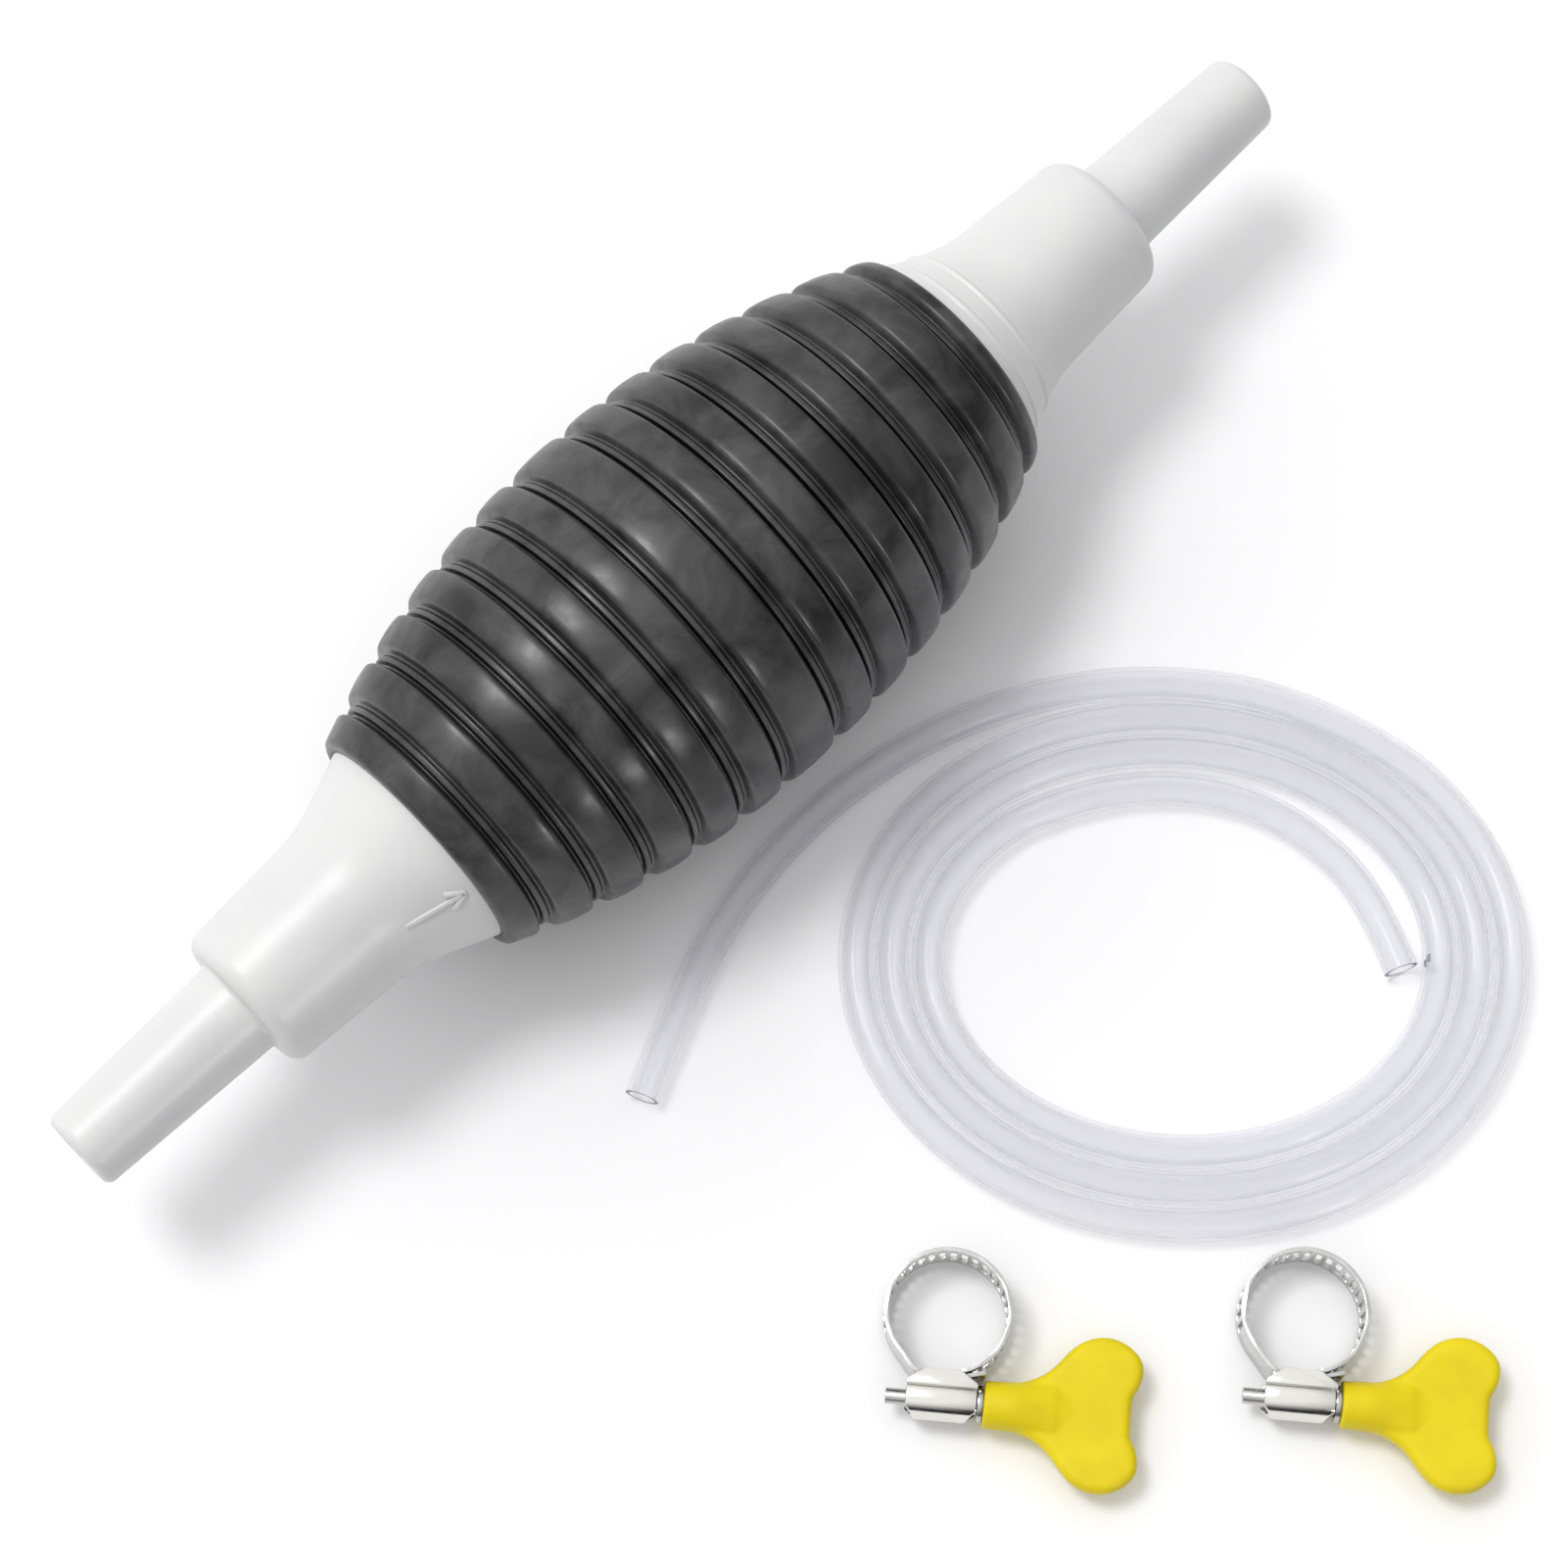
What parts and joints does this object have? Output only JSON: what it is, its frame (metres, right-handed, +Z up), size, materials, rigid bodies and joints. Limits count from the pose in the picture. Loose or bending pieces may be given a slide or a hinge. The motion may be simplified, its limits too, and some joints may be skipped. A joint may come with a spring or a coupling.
{
  "type": "hand siphon pump",
  "caption": "Hand siphon pump: ribbed squeeze bulb between check-valve nozzles, with a coiled clear hose and thumb-key hose clamps.",
  "frame": {"origin": "on the floor under the middle of the squeeze bulb, which lies on its belly", "axes": "+X along the pump's axis towards the outlet, +Z up"},
  "size_m": [0.205, 0.1734, 0.0524],
  "materials": {
    "black_rubber": "satin moulded rubber",
    "white_plastic": "moulded, satin gloss",
    "grey_nylon": "moulded",
    "acetal_ball": "ground and polished",
    "spring_steel": "drawn wire",
    "clear_pvc": "extruded, clear",
    "band_steel": "rolled stainless strip",
    "saddle_steel": "bright pressed steel",
    "screw_steel": "bright plated",
    "yellow_plastic": "moulded, satin gloss"
  },
  "bodies": {
    "pump": {"inlet_fitting": "white_plastic", "inlet_valve_seat": "grey_nylon", "inlet_valve_retainer": "grey_nylon", "outlet_fitting": "white_plastic", "outlet_valve_seat": "grey_nylon", "outlet_valve_retainer": "grey_nylon", "hose_outer_tail": "clear_pvc", "hose_coil": "clear_pvc", "hose_inner_tail": "clear_pvc", "clamp_1_band": "band_steel", "clamp_2_band": "band_steel"},
    "bulb": {"bulb": "black_rubber"},
    "inlet_valve": {"inlet_valve_ball": "acetal_ball", "inlet_valve_spring": "spring_steel"},
    "outlet_valve": {"outlet_valve_ball": "acetal_ball", "outlet_valve_spring": "spring_steel"},
    "clamp_1_saddle": {"clamp_1_housing": "saddle_steel"},
    "clamp_1_screw": {"clamp_1_worm_screw": "screw_steel", "clamp_1_thumb_key": "yellow_plastic"},
    "clamp_2_saddle": {"clamp_2_housing": "saddle_steel"},
    "clamp_2_screw": {"clamp_2_worm_screw": "screw_steel", "clamp_2_thumb_key": "yellow_plastic"}
  },
  "joints": [
    {"name": "bulb_squeeze", "type": "slide", "parent": "pump", "child": "bulb", "axis": [0, 0, -1], "range_m": [0, 0.005], "stiffness_N_per_m": 1500, "deforming": ["bulb"]},
    {"name": "inlet_valve_lift", "type": "slide", "parent": "pump", "child": "inlet_valve", "axis": [1, 0, 0], "range_m": [0, 0.002], "stiffness_N_per_m": 60, "springref_m": -0.001, "deforming": ["inlet_valve_spring"]},
    {"name": "outlet_valve_lift", "type": "slide", "parent": "pump", "child": "outlet_valve", "axis": [1, 0, 0], "range_m": [0, 0.002], "stiffness_N_per_m": 60, "springref_m": -0.001, "deforming": ["outlet_valve_spring"]},
    {"name": "clamp_1_screw_turn", "type": "hinge", "parent": "clamp_1_saddle", "child": "clamp_1_screw", "pos_m": [-0.04589, -0.09254, 0.00445], "axis": [-0.6448, 0.7644, 0], "range_deg": [0, 2341]},
    {"name": "clamp_1_tighten", "type": "slide", "parent": "pump", "child": "clamp_1_saddle", "axis": [0.7644, 0.6448, 0], "range_m": [0, 0.0031], "deforming": ["clamp_1_band"]},
    {"name": "clamp_2_screw_turn", "type": "hinge", "parent": "clamp_2_saddle", "child": "clamp_2_screw", "pos_m": [-0.01407, -0.12365, 0.00445], "axis": [-0.6448, 0.7644, 0], "range_deg": [0, 2341]},
    {"name": "clamp_2_tighten", "type": "slide", "parent": "pump", "child": "clamp_2_saddle", "axis": [0.7644, 0.6448, 0], "range_m": [0, 0.0031], "deforming": ["clamp_2_band"]}
  ],
  "couplings": [
    {"joint": "clamp_1_screw_turn", "follows": "clamp_1_tighten", "rad_per_m": 13159},
    {"joint": "clamp_2_screw_turn", "follows": "clamp_2_tighten", "rad_per_m": 13159}
  ]
}
